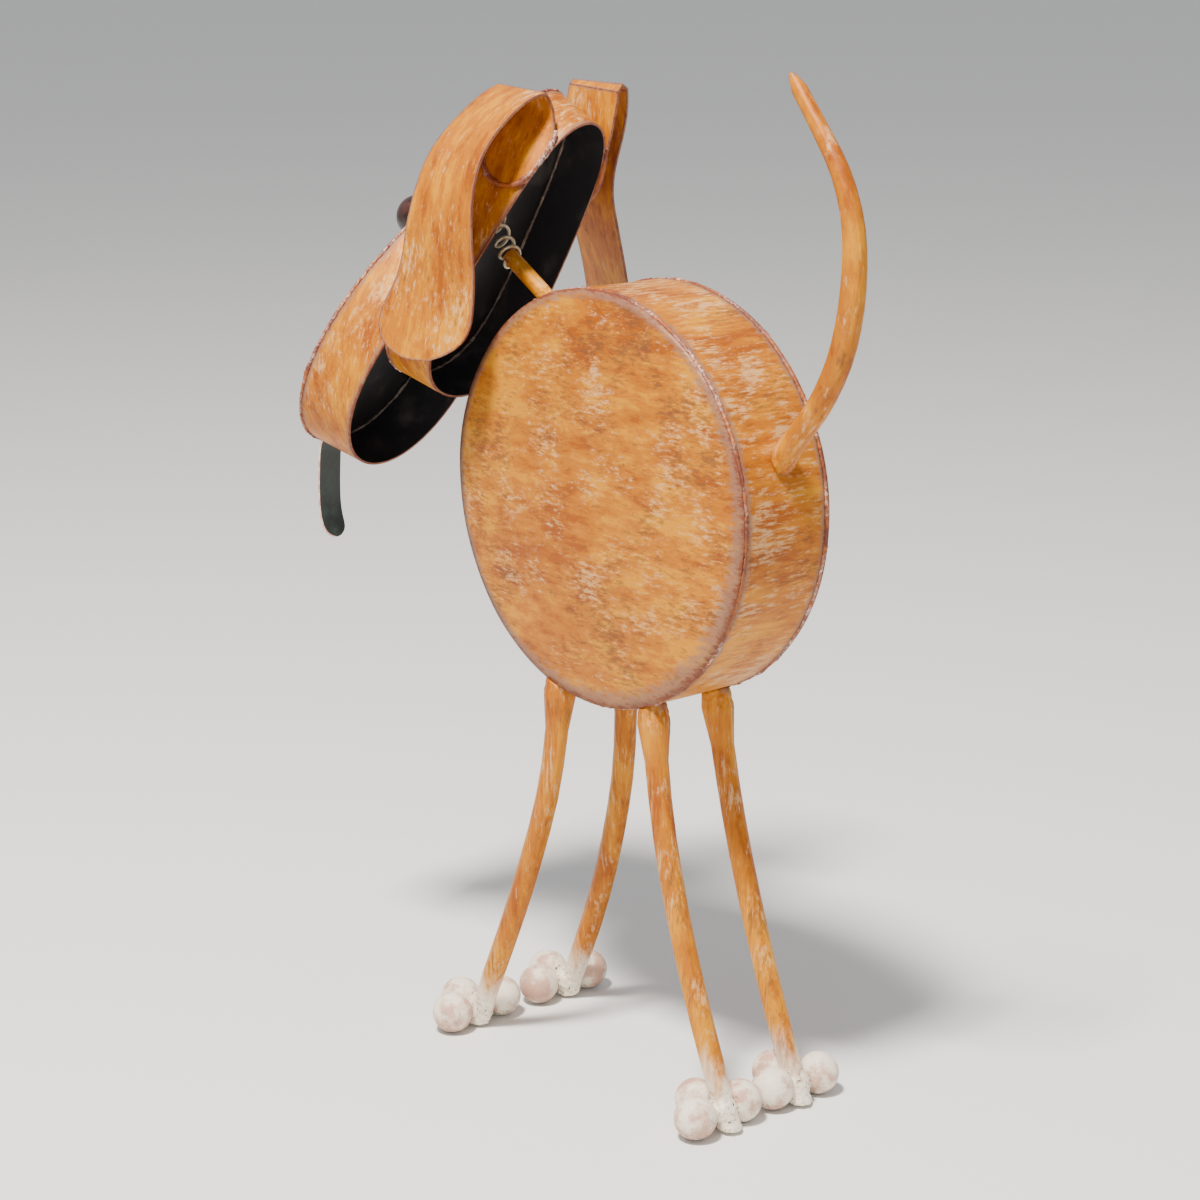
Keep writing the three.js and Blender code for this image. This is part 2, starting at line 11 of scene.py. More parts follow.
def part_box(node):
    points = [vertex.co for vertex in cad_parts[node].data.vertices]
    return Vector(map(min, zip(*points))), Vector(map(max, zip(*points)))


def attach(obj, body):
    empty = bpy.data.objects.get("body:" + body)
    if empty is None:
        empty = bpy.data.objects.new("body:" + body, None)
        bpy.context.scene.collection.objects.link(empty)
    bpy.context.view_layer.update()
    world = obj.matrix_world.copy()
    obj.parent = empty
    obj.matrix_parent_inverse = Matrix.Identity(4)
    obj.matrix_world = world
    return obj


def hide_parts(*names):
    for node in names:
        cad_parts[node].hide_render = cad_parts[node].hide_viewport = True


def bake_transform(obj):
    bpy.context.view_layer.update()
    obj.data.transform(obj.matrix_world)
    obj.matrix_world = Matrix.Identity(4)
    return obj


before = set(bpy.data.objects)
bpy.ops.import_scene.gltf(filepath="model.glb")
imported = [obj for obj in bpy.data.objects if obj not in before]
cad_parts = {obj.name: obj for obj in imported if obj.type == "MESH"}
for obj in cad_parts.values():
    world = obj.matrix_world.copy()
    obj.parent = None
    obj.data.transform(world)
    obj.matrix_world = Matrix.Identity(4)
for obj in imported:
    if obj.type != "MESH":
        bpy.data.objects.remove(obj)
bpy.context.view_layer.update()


# Camera
# It stands behind the dog's left side, a little above its back, and looks along the body to the
# lowered head. The places are counted from the middle of the drum, on the ground.
drum_low, drum_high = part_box("body_band")
drum_centre = (Vector(drum_low) + Vector(drum_high)) / 2
ground_centre = Vector((drum_centre.x, drum_centre.y, 0))
CAMERA_PLACE = ground_centre + Vector((1.1609, 1.2960, 0.7451))
CAMERA_TARGET = ground_centre + Vector((0, -0.03506, 0.30269))
LENS_MM = 85.78

camera_data = bpy.data.cameras.new("camera")
camera_data.lens = LENS_MM
camera_data.sensor_width = 36
camera = bpy.data.objects.new("camera", camera_data)
camera.location = CAMERA_PLACE
camera.rotation_euler = (CAMERA_TARGET - CAMERA_PLACE).to_track_quat("-Z", "Y").to_euler()
bpy.context.collection.objects.link(camera)
bpy.context.scene.camera = camera


# Studio
# A pale floor that runs out to an even pale room, a soft lamp high over the dog's left side,
# like a skylight, and a weaker broad one behind it.
FLOOR_WIDTH = 60.0
FLOOR_TONE = (0.80, 0.79, 0.77, 1)


def studio_floor():
    bm = bmesh.new()
    bmesh.ops.create_grid(bm, x_segments=8, y_segments=8, size=FLOOR_WIDTH / 2,
                          matrix=Matrix.Translation((0, 0, -0.0005)))
    mesh = bpy.data.meshes.new("studio_floor")
    bm.to_mesh(mesh)
    bm.free()
    floor = bpy.data.objects.new("studio_floor", mesh)
    bpy.context.collection.objects.link(floor)
    material = bpy.data.materials.new("floor_paper")
    material.use_nodes = True
    shader = material.node_tree.nodes["Principled BSDF"]
    shader.inputs["Base Color"].default_value = FLOOR_TONE
    shader.inputs["Roughness"].default_value = 0.9
    mesh.materials.append(material)


def soft_lamp(name, place, size, watts, tone):
    data = bpy.data.lights.new(name, "AREA")
    data.size = size
    data.energy = watts
    data.color = tone
    lamp = bpy.data.objects.new(name, data)
    lamp.location = place
    lamp.rotation_euler = (Vector((0, 0, 0.3)) - Vector(place)).to_track_quat("-Z", "Y").to_euler()
    bpy.context.collection.objects.link(lamp)


studio_floor()
soft_lamp("window_lamp", (1.25, 0.45, 3.0), 0.45, 250, (1.0, 0.96, 0.89))
soft_lamp("fill_lamp", (2.2, 2.4, 1.2), 2.2, 20, (0.96, 0.98, 1.0))
room = bpy.data.worlds.new("room")
room.use_nodes = True
room.node_tree.nodes["Background"].inputs["Color"].default_value = (0.90, 0.92, 0.95, 1)
room.node_tree.nodes["Background"].inputs["Strength"].default_value = 0.62
bpy.context.scene.world = room


# Rubbed paint
# The whole dog is brushed with ochre over a darker coat and rubbed back while wet, so pale metal
# primer, yellow and burnt orange mottle each other in fine strokes, with soot in the grain.
def group_socket(group, name, in_out, kind, value=None):
    socket = group.interface.new_socket(name=name, in_out=in_out, socket_type=kind)
    if value is not None:
        socket.default_value = value
    return socket


def math_node(nodes, links, operation, *inputs):
    node = nodes.new("ShaderNodeMath")
    node.operation = operation
    for slot, value in zip(node.inputs, inputs):
        if isinstance(value, (int, float)):
            slot.default_value = value
        else:
            links.new(value, slot)
    return node.outputs[0]


def noise_node(nodes, links, vector, scale, detail, roughness):
    node = nodes.new("ShaderNodeTexNoise")
    node.inputs["Scale"].default_value = scale
    node.inputs["Detail"].default_value = detail
    node.inputs["Roughness"].default_value = roughness
    links.new(vector, node.inputs["Vector"])
    return node.outputs["Fac"]


def step_node(nodes, links, value, low, high):
    node = nodes.new("ShaderNodeMapRange")
    node.interpolation_type = "SMOOTHSTEP"
    node.inputs["From Min"].default_value = low
    node.inputs["From Max"].default_value = high
    links.new(value, node.inputs["Value"])
    return node.outputs["Result"]


def tint_node(nodes, links, factor, under, over):
    node = nodes.new("ShaderNodeMix")
    node.data_type = "RGBA"
    links.new(factor, node.inputs["Factor"])
    for slot, value in ((node.inputs[6], under), (node.inputs[7], over)):
        if isinstance(value, tuple):
            slot.default_value = value
        else:
            links.new(value, slot)
    return node.outputs[2]


BURNT_ORANGE = (0.29, 0.066, 0.001, 1)
OCHRE = (0.42, 0.127, 0.001, 1)
WARM_YELLOW = (0.55, 0.212, 0.002, 1)
PALE_PRIMER = (0.62, 0.37, 0.17, 1)
SOOT = (0.09, 0.045, 0.025, 1)
HAZE_AND_SHADE_GREY = (0.20, 0.115, 0.085, 1)
RUST_BROWN = (0.15, 0.028, 0.010, 1)
SCUFF_PINK = (0.78, 0.60, 0.53, 1)


def build_rubbed_paint():
    group = bpy.data.node_groups.new("rubbed_paint", "ShaderNodeTree")
    group_socket(group, "Place", "INPUT", "NodeSocketVector")
    group_socket(group, "Strokes", "INPUT", "NodeSocketVector")
    group_socket(group, "Wear", "INPUT", "NodeSocketFloat", 0.5)
    group_socket(group, "Soot", "INPUT", "NodeSocketFloat", 0.5)
    group_socket(group, "Edge", "INPUT", "NodeSocketFloat", 0.0)
    group_socket(group, "Color", "OUTPUT", "NodeSocketColor")
    group_socket(group, "Roughness", "OUTPUT", "NodeSocketFloat")
    group_socket(group, "Height", "OUTPUT", "NodeSocketFloat")
    nodes, links = group.nodes, group.links
    given = nodes.new("NodeGroupInput").outputs
    result = nodes.new("NodeGroupOutput").inputs
    broad = noise_node(nodes, links, given["Place"], 13, 4, 0.6)
    cloud = noise_node(nodes, links, given["Place"], 31, 5, 0.65)
    strokes = noise_node(nodes, links, given["Strokes"], 110, 6, 0.72)
    grain = noise_node(nodes, links, given["Place"], 700, 3, 0.6)
    fleck = noise_node(nodes, links, given["Strokes"], 420, 4, 0.75)

    tone = math_node(nodes, links, "ADD", math_node(nodes, links, "MULTIPLY", broad, 0.4),
                     math_node(nodes, links, "MULTIPLY", strokes, 0.6))
    colour = tint_node(nodes, links, step_node(nodes, links, tone, 0.40, 0.49), BURNT_ORANGE, OCHRE)
    colour = tint_node(nodes, links, step_node(nodes, links, tone, 0.49, 0.58), colour, WARM_YELLOW)

    rubbed = math_node(nodes, links, "ADD", math_node(nodes, links, "MULTIPLY", cloud, 0.42),
                       math_node(nodes, links, "MULTIPLY", fleck, 0.58))
    rubbed = math_node(nodes, links, "ADD", rubbed, math_node(nodes, links, "MULTIPLY", given["Wear"], 0.2))
    worn = math_node(nodes, links, "MULTIPLY", step_node(nodes, links, rubbed, 0.60, 0.71), 0.7)
    colour = tint_node(nodes, links, worn, colour, PALE_PRIMER)

    between = math_node(nodes, links, "SUBTRACT", 1.0, fleck)
    drifts = noise_node(nodes, links, given["Place"], 24, 4, 0.6)
    sooty = math_node(nodes, links, "ADD", math_node(nodes, links, "MULTIPLY", between, 0.6),
                      math_node(nodes, links, "MULTIPLY", drifts, 0.4))
    sooty = math_node(nodes, links, "ADD", sooty, math_node(nodes, links, "MULTIPLY", given["Soot"], 0.14))
    specks = math_node(nodes, links, "MULTIPLY", step_node(nodes, links, sooty, 0.59, 0.69), 0.6)
    colour = tint_node(nodes, links, specks, colour, SOOT)

    ragged = math_node(nodes, links, "ADD", given["Edge"],
                       math_node(nodes, links, "MULTIPLY_ADD", fleck, 1.5, -0.8))
    # Grey towards the edges: haze on every sheet, and on the flanks partly painted shade, widest low on the rear.
    haze_and_shade = math_node(nodes, links, "MULTIPLY", step_node(nodes, links, ragged, 0.2, 0.6), 0.7)
    colour = tint_node(nodes, links, haze_and_shade, colour, HAZE_AND_SHADE_GREY)
    rusted = math_node(nodes, links, "MULTIPLY", step_node(nodes, links, ragged, 0.6, 0.95), 0.85)
    colour = tint_node(nodes, links, rusted, colour, RUST_BROWN)
    links.new(colour, result["Color"])
    shine = math_node(nodes, links, "MULTIPLY_ADD", worn, 0.16, 0.46)
    shine = math_node(nodes, links, "MULTIPLY_ADD", specks, 0.2, shine)
    links.new(shine, result["Roughness"])
    relief = math_node(nodes, links, "MULTIPLY_ADD", strokes, 0.5, math_node(nodes, links, "MULTIPLY", grain, 0.5))
    relief = math_node(nodes, links, "MULTIPLY_ADD", worn, -0.3, relief)
    links.new(relief, result["Height"])
    return group


rubbed_paint = build_rubbed_paint()


def painted(name, stroke_scale, wear, soot, bump=0.35, foot_fade=None):
    """Paint whose strokes are drawn out along the axes where stroke_scale is small."""
    material = bpy.data.materials.new(name)
    material.use_nodes = True
    nodes, links = material.node_tree.nodes, material.node_tree.links
    shader = nodes["Principled BSDF"]
    place = nodes.new("ShaderNodeTexCoord").outputs["Object"]
    mapping = nodes.new("ShaderNodeMapping")
    mapping.inputs["Scale"].default_value = stroke_scale
    links.new(place, mapping.inputs["Vector"])
    paint = nodes.new("ShaderNodeGroup")
    paint.node_tree = rubbed_paint
    paint.inputs["Wear"].default_value = wear
    paint.inputs["Soot"].default_value = soot
    links.new(place, paint.inputs["Place"])
    links.new(mapping.outputs["Vector"], paint.inputs["Strokes"])
    edge = nodes.new("ShaderNodeAttribute")
    edge.attribute_name = "edge"
    links.new(edge.outputs["Fac"], paint.inputs["Edge"])
    colour = paint.outputs["Color"]
    if foot_fade:
        height = nodes.new("ShaderNodeSeparateXYZ")
        links.new(place, height.inputs["Vector"])
        patchy = noise_node(nodes, links, mapping.outputs["Vector"], 60, 5, 0.7)
        level = math_node(nodes, links, "MULTIPLY_ADD", patchy, foot_fade, height.outputs["Z"])
        faded = step_node(nodes, links, level, foot_fade * 1.15, foot_fade * 0.72)
        pits = step_node(nodes, links, noise_node(nodes, links, place, 380, 4, 0.8), 0.56, 0.64)
        near_weld = step_node(nodes, links, height.outputs["Z"], 0.036, 0.016)
        pits = math_node(nodes, links, "MULTIPLY", pits, near_weld)
        whitened = tint_node(nodes, links, pits, TOE_WHITE, PIT_BLACK)
        colour = tint_node(nodes, links, faded, colour, whitened)
    links.new(colour, shader.inputs["Base Color"])
    links.new(paint.outputs["Roughness"], shader.inputs["Roughness"])
    shader.inputs["Metallic"].default_value = 0.12
    shader.inputs["Specular IOR Level"].default_value = 0.22
    dents = nodes.new("ShaderNodeBump")
    dents.inputs["Strength"].default_value = bump
    dents.inputs["Distance"].default_value = 0.0004
    links.new(paint.outputs["Height"], dents.inputs["Height"])
    links.new(dents.outputs["Normal"], shader.inputs["Normal"])
    return material


# Drum
# The body is a wide rim of sheet between two dished plates, welded round both edges. The sheet is
# a little uneven from hammering and heat.
DRUM_RADIUS = 0.130
DRUM_LENGTH_RADIUS = 0.1325
DRUM_STEPS = 168
HAMMER_DEPTH = 0.0006
FLANK_EDGE_DEPTH = 0.002
FLANK_DOME_DEPTH = 0.009
FLANK_EDGE_ROUND = 0.0028
drum_half_width = (drum_high[0] - drum_low[0]) / 2
flank_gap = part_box("flank_left")[0][0] - drum_high[0]


def link_piece(name, bm, material, body):
    mesh = bpy.data.meshes.new(name)
    for face in bm.faces:
        face.smooth = True
    bm.to_mesh(mesh)
    bm.free()
    mesh.materials.append(material)
    piece = bpy.data.objects.new(name, mesh)
    bpy.context.collection.objects.link(piece)
    if body:
        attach(piece, body)
    return piece


def give_edge(bm, measure):
    """Stores how rusty each point is, from 0 on the open sheet to 1 on an edge; on the flanks the grey part of it
    is partly painted shade.
    """
    layer = bm.verts.layers.float.new("edge")
    for vert in bm.verts:
        vert[layer] = max(0.0, min(1.0, measure(vert.co)))


def turned_drum(profile):
    """Turns (radius, across) points round the drum's axis and stretches them to its length."""
    bm = bmesh.new()
    verts = [bm.verts.new((across, 0, radius)) for radius, across in profile]
    edges = [bm.edges.new(pair) for pair in zip(verts, verts[1:])]
    bmesh.ops.spin(bm, geom=verts + edges, cent=(0, 0, 0), axis=(1, 0, 0), angle=math.tau,
                   steps=DRUM_STEPS, use_merge=True)
    bmesh.ops.remove_doubles(bm, verts=bm.verts, dist=1e-6)
    bmesh.ops.scale(bm, verts=bm.verts, vec=(1, DRUM_LENGTH_RADIUS / DRUM_RADIUS, 1))
    bmesh.ops.recalc_face_normals(bm, faces=bm.faces)
    bm.normal_update()
    for vert in bm.verts:
        vert.co += vert.normal * noise.noise(vert.co * 22) * HAMMER_DEPTH
    bmesh.ops.translate(bm, verts=bm.verts, vec=drum_centre)
    return bm


def from_rim(point):
    """Distance in from the drum's round outline."""
    along = (point.y - drum_centre.y) / DRUM_LENGTH_RADIUS
    up = (point.z - drum_centre.z) / DRUM_RADIUS
    return (1 - math.hypot(along, up)) * DRUM_RADIUS


def haze_and_shade_reach(point):
    """How far the grey band runs in from the rim: grey haze all round, widened low on the dog's rear as painted
    shade.
    """
    along = (point.y - drum_centre.y) / DRUM_LENGTH_RADIUS
    up = (point.z - drum_centre.z) / DRUM_RADIUS
    return 0.011 + 0.013 * max(0.0, 0.6 * along - 0.8 * up)


rim_paint = painted("rim_paint", (0.2, 1, 1), 0.5, 0.35)
rim_profile = [(0.0, -drum_half_width), (DRUM_RADIUS - 0.012, -drum_half_width)]
rim_profile += [(DRUM_RADIUS - 0.0002, -drum_half_width + drum_half_width * 2 * i / 24) for i in range(25)]
rim_profile += [(DRUM_RADIUS - 0.012, drum_half_width), (0.0, drum_half_width)]
rim_mesh = turned_drum(rim_profile)
give_edge(rim_mesh, lambda p: 0.95 - (drum_half_width - abs(p.x - drum_centre.x)) / 0.008)
rim = link_piece("drum_rim", rim_mesh, rim_paint, "body")
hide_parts("body_band")

flank_paint = painted("flank_paint", (1, 0.28, 1), 0.36, 0.6)
flank_profile = [(0.0, 0.0), (DRUM_RADIUS - FLANK_EDGE_ROUND, 0.0)]
for i in range(9):
    angle = math.radians(-90 + 11.25 * i)
    flank_profile.append((DRUM_RADIUS - FLANK_EDGE_ROUND * (1 - math.cos(angle)),
                          FLANK_EDGE_ROUND * (1 + math.sin(angle)) * 0.72))
for i in range(1, 31):
    share = (1 - i / 30) ** 1.0
    radius = (DRUM_RADIUS - FLANK_EDGE_ROUND * 0.12) * share
    flank_profile.append((radius, FLANK_EDGE_DEPTH + FLANK_DOME_DEPTH * (1 - share ** 2) ** 0.9))
for flank_name, side in (("flank_left", 1), ("flank_right", -1)):
    base = side * (drum_half_width + flank_gap)
    flank_mesh = turned_drum([(radius, base + side * across) for radius, across in flank_profile])
    # The flank's grey edge band is partly painted shade, widened low on the dog's rear.
    give_edge(flank_mesh, lambda p: 0.9 - from_rim(p) / haze_and_shade_reach(p))
    flank = link_piece(f"drum_{flank_name}", flank_mesh, flank_paint, "body")
    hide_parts(flank_name)


# Weld beads
# Every joint of the dog is a hand-laid bead, ground down in places and rubbed bright on its high
# spots. Each bead is a row of lumps that run into each other.
BEAD_SMOOTHING = 3


def build_weld_paint():
    material = bpy.data.materials.new("weld_paint")
    material.use_nodes = True
    nodes, links = material.node_tree.nodes, material.node_tree.links
    shader = nodes["Principled BSDF"]
    place = nodes.new("ShaderNodeTexCoord").outputs["Object"]
    patches = step_node(nodes, links, noise_node(nodes, links, place, 60, 4, 0.6), 0.42, 0.58)
    colour = tint_node(nodes, links, patches, RUST_BROWN, BURNT_ORANGE)
    where = step_node(nodes, links, noise_node(nodes, links, place, 26, 3, 0.6), 0.44, 0.6)
    scuffs = step_node(nodes, links, noise_node(nodes, links, place, 420, 4, 0.75), 0.42, 0.66)
    scuffs = math_node(nodes, links, "MULTIPLY", math_node(nodes, links, "MULTIPLY", scuffs, where), 0.75)
    colour = tint_node(nodes, links, scuffs, colour, SCUFF_PINK)
    soot = step_node(nodes, links, noise_node(nodes, links, place, 300, 3, 0.7), 0.57, 0.68)
    colour = tint_node(nodes, links, soot, colour, SOOT)
    links.new(colour, shader.inputs["Base Color"])
    links.new(math_node(nodes, links, "MULTIPLY_ADD", scuffs, -0.2, 0.6), shader.inputs["Roughness"])
    dents = nodes.new("ShaderNodeBump")
    dents.inputs["Strength"].default_value = 0.5
    dents.inputs["Distance"].default_value = 0.0006
    links.new(noise_node(nodes, links, place, 500, 3, 0.7), dents.inputs["Height"])
    links.new(dents.outputs["Normal"], shader.inputs["Normal"])
    return material


weld_paint = build_weld_paint()


def with_modifiers(piece, name):
    """The mesh of a piece with its modifiers taken in."""
    bpy.context.view_layer.update()
    graph = bpy.context.evaluated_depsgraph_get()
    return bpy.data.meshes.new_from_object(piece.evaluated_get(graph))


def fused(bm, name, voxel, smoothing):
    """One closed skin round everything in the given mesh, smoothed."""
    mesh = bpy.data.meshes.new(name)
    bm.to_mesh(mesh)
    bm.free()
    rough = bpy.data.objects.new(name, mesh)
    bpy.context.collection.objects.link(rough)
    remesh = rough.modifiers.new("skin", "REMESH")
    remesh.mode = "VOXEL"
    remesh.voxel_size = voxel
    smooth = rough.modifiers.new("smooth", "SMOOTH")
    smooth.factor = 0.5
    smooth.iterations = smoothing
    skin = with_modifiers(rough, name)
    bpy.data.objects.remove(rough)
    result = bmesh.new()
    result.from_mesh(skin)
    return result


def weld(name, points, radius, body, material, voxel=0.0008, seed=1):
    dice = random.Random(seed)
    bm = bmesh.new()
    for point in points:
        shift = Vector([dice.uniform(-1, 1) for _ in range(3)]) * radius * 0.22
        size = radius * (1 + 0.45 * noise.noise(point * 90)) * dice.uniform(0.85, 1.12)
        place = Matrix.Translation(point + shift)
        bmesh.ops.create_icosphere(bm, subdivisions=2, radius=size, matrix=place)
    piece = link_piece(name, fused(bm, name, voxel, BEAD_SMOOTHING), material, body)
    return piece


def drum_ring(across, radius, spacing):
    count = round(math.tau * radius / spacing)
    stretch = DRUM_LENGTH_RADIUS / DRUM_RADIUS
    ring = []
    for i in range(count):
        angle = math.tau * i / count
        ring.append(drum_centre + Vector((across, math.cos(angle) * radius * stretch, math.sin(angle) * radius)))
    return ring


SEAM_RADIUS = 0.0015
for seam_name, side in (("flank_seam_left", 1), ("flank_seam_right", -1)):
    seam_points = drum_ring(side * (drum_half_width + flank_gap), DRUM_RADIUS - 0.0006, 0.0011)
    weld(seam_name, seam_points, SEAM_RADIUS, "body", weld_paint, seed=3 + side)


# Toes
# Solid steel balls, three to a foot, painted off-white with a pink and rusty blush. Grey flecks
# thicken towards the bottom of each ball, and pits gather where they are welded.
TOE_WHITE = (0.82, 0.72, 0.58, 1)
TOE_BLUSH = (0.48, 0.22, 0.14, 1)
PIT_BLACK = (0.020, 0.019, 0.020, 1)
TOE_GREY_FLECK = (0.22, 0.20, 0.18, 1)


def build_toe_paint():
    material = bpy.data.materials.new("toe_paint")
    material.use_nodes = True
    nodes, links = material.node_tree.nodes, material.node_tree.links
    shader = nodes["Principled BSDF"]
    place = nodes.new("ShaderNodeTexCoord").outputs["Object"]
    cloud = noise_node(nodes, links, place, 48, 5, 0.65)
    blush = step_node(nodes, links, cloud, 0.44, 0.6)
    colour = tint_node(nodes, links, math_node(nodes, links, "MULTIPLY", blush, 0.8), TOE_WHITE, TOE_BLUSH)
    fleck = noise_node(nodes, links, place, 420, 4, 0.7)
    height = nodes.new("ShaderNodeSeparateXYZ")
    links.new(place, height.inputs["Vector"])
    # Grey flecks, thicker towards the bottom of each ball.
    low = step_node(nodes, links, height.outputs["Z"], 0.012, 0.001)
    grey_fleck = math_node(nodes, links, "MULTIPLY_ADD", low, 0.16, fleck)
    grey_fleck = math_node(nodes, links, "MULTIPLY", step_node(nodes, links, grey_fleck, 0.6, 0.72), 0.75)
    colour = tint_node(nodes, links, grey_fleck, colour, TOE_GREY_FLECK)
    crevice = nodes.new("ShaderNodeAttribute")
    crevice.attribute_name = "edge"
    pits = math_node(nodes, links, "MULTIPLY_ADD", fleck, 1.4, crevice.outputs["Fac"])
    pits = step_node(nodes, links, pits, 1.22, 1.4)
    colour = tint_node(nodes, links, pits, colour, PIT_BLACK)
    links.new(colour, shader.inputs["Base Color"])
    links.new(math_node(nodes, links, "MULTIPLY_ADD", grey_fleck, 0.2, 0.52), shader.inputs["Roughness"])
    dents = nodes.new("ShaderNodeBump")
    dents.inputs["Strength"].default_value = 0.35
    dents.inputs["Distance"].default_value = 0.0005
    links.new(math_node(nodes, links, "MULTIPLY_ADD", pits, -0.6, fleck), dents.inputs["Height"])
    links.new(dents.outputs["Normal"], shader.inputs["Normal"])
    return material


toe_paint = build_toe_paint()
FEET = {
    "front_left": (0.039, -0.114), "front_right": (-0.039, -0.114),
    "rear_left": (0.0315, 0.1155), "rear_right": (-0.0315, 0.1155),
}
WELD_HEIGHT = 0.013
TOE_RADIUS = 0.01345
TOE_SEAT = 0.01311
for foot, (foot_across, foot_along) in FEET.items():
    foot_weld = ground_centre + Vector((foot_across, foot_along, WELD_HEIGHT))
    for toe_place in ("outer", "middle", "inner"):
        node_name = f"toe_{foot}_{toe_place}"
        toe_low, toe_high = (Vector(corner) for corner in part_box(node_name))
        toe_centre = Vector(((toe_low.x + toe_high.x) / 2, (toe_low.y + toe_high.y) / 2, TOE_SEAT))
        ball = bmesh.new()
        bmesh.ops.create_icosphere(ball, subdivisions=5, radius=TOE_RADIUS, matrix=Matrix.Translation(toe_centre))
        for vert in ball.verts:
            vert.co += (vert.co - toe_centre) * noise.noise(vert.co * 60) * 0.02
            vert.co.z = max(vert.co.z, 0.0)
        give_edge(ball, lambda p: 1.15 - (p - foot_weld).length / 0.016)
        toe = link_piece(f"ball_{node_name}", ball, toe_paint, "body")
        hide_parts(node_name)


# Legs and tail
# Bowed tubes with a swelling of weld under the drum and a cut end between the toes, and a bent
# rod for the tail. The ochre is streaked along them and rubbed to white at the feet.
def plain_copy(node_name):
    """A CAD node's shape as one closed mesh with shared corners."""
    bm = bmesh.new()
    bm.from_mesh(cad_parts[node_name].data)
    bmesh.ops.transform(bm, matrix=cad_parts[node_name].matrix_world, verts=bm.verts)
    bmesh.ops.remove_doubles(bm, verts=bm.verts, dist=2e-5)
    bmesh.ops.dissolve_degenerate(bm, edges=bm.edges, dist=1e-6)
    return bm


def swell(bm, amount):
    """Gives back the thickness that smoothing took from a bar."""
    bm.normal_update()
    for vert in bm.verts:
        vert.co += vert.normal * amount


def pocked(bm, near, reach, depth):
    """Roughens a skin like melted metal around one point."""
    bm.normal_update()
    for vert in bm.verts:
        share = max(0.0, 1 - (vert.co - near).length / reach)
        rough = noise.noise(vert.co * 330) + 0.5 * noise.noise(vert.co * 900)
        vert.co += vert.normal * rough * depth * min(1.0, share * 2.2)


leg_paint = painted("leg_paint", (1, 1, 0.1), 0.42, 0.4, 0.4, foot_fade=0.075)
for foot, (foot_across, foot_along) in FEET.items():
    node_name = f"leg_{foot}"
    skin = fused(plain_copy(node_name), node_name, 0.0009, 6)
    swell(skin, 0.0003)
    top = max((v.co for v in skin.verts), key=lambda p: p.z).copy()
    pocked(skin, ground_centre + Vector((foot_across, foot_along, WELD_HEIGHT)), 0.022, 0.0006)
    pocked(skin, top, 0.02, 0.0006)
    for vert in skin.verts:
        vert.co.z = max(vert.co.z, 0.0)
    give_edge(skin, lambda p: 0.85 - (top - p).length / 0.012)
    leg = link_piece(f"tube_{node_name}", skin, leg_paint, "body")
    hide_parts(node_name)

tail_paint = painted("tail_paint", (1, 0.3, 0.15), 0.36, 0.3)
tail_skin = fused(plain_copy("tail"), "tail", 0.0009, 6)
swell(tail_skin, 0.0005)
tail_root = min((v.co for v in tail_skin.verts), key=lambda p: p.z).copy()
tail_tip = max((v.co for v in tail_skin.verts), key=lambda p: p.z).copy()
pocked(tail_skin, tail_root, 0.018, 0.0009)
give_edge(tail_skin, lambda p: max(0.8 - (tail_root - p).length / 0.012, 0.75 - (tail_tip - p).length / 0.012))
tail = link_piece("tail_rod", tail_skin, tail_paint, "body")
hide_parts("tail")


# Neck and its spring
# A short tube stands out of the drum. A coil of steel wire is wound on its open end and is all
# that holds the head, so the head nods.
neck_skin = fused(plain_copy("neck"), "neck", 0.0006, 4)
neck_foot = drum_centre + Vector((0, -0.075, 0.109))
pocked(neck_skin, neck_foot, 0.022, 0.0009)
give_edge(neck_skin, lambda p: 0.85 - (neck_foot - p).length / 0.016)
neck = link_piece("neck_tube", neck_skin, painted("neck_paint", (1, 0.3, 0.3), 0.6, 0.45), "body")
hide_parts("neck")


def build_wire_steel():
    material = bpy.data.materials.new("wire_steel")
    material.use_nodes = True
    nodes, links = material.node_tree.nodes, material.node_tree.links
    shader = nodes["Principled BSDF"]
    place = nodes.new("ShaderNodeTexCoord").outputs["Object"]
    smear = step_node(nodes, links, noise_node(nodes, links, place, 160, 4, 0.7), 0.45, 0.62)
    colour = tint_node(nodes, links, smear, (0.52, 0.46, 0.34, 1), (0.34, 0.22, 0.10, 1))
    links.new(colour, shader.inputs["Base Color"])
    links.new(math_node(nodes, links, "MULTIPLY_ADD", smear, -0.5, 0.8), shader.inputs["Metallic"])
    links.new(math_node(nodes, links, "MULTIPLY_ADD", smear, 0.25, 0.32), shader.inputs["Roughness"])
    return material


def rounded_copy(node_name, levels, sharp_degrees=38):
    """A CAD node's shape made smooth between its true edges, which stay crisp."""
    bm = plain_copy(node_name)
    bmesh.ops.join_triangles(bm, faces=bm.faces, angle_face_threshold=math.radians(28),
                             angle_shape_threshold=math.radians(60), cmp_seam=False, cmp_sharp=False)
    crease = bm.edges.layers.float.new("crease_edge")
    for edge in bm.edges:
        if len(edge.link_faces) == 2 and edge.calc_face_angle() > math.radians(sharp_degrees):
            edge[crease] = 1.0
    mesh = bpy.data.meshes.new(node_name)
    bm.to_mesh(mesh)
    bm.free()
    coarse = bpy.data.objects.new(node_name, mesh)
    bpy.context.collection.objects.link(coarse)
    rounding = coarse.modifiers.new("rounding", "SUBSURF")
    rounding.levels = levels
    rounding.render_levels = levels
    skin = with_modifiers(coarse, node_name)
    bpy.data.objects.remove(coarse)
    result = bmesh.new()
    result.from_mesh(skin)
    return result


coil = rounded_copy("neck_spring", 2, 80)
swell(coil, 0.0005)
spring = link_piece("neck_coil", coil, build_wire_steel(), None)
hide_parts("neck_spring")
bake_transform(spring)


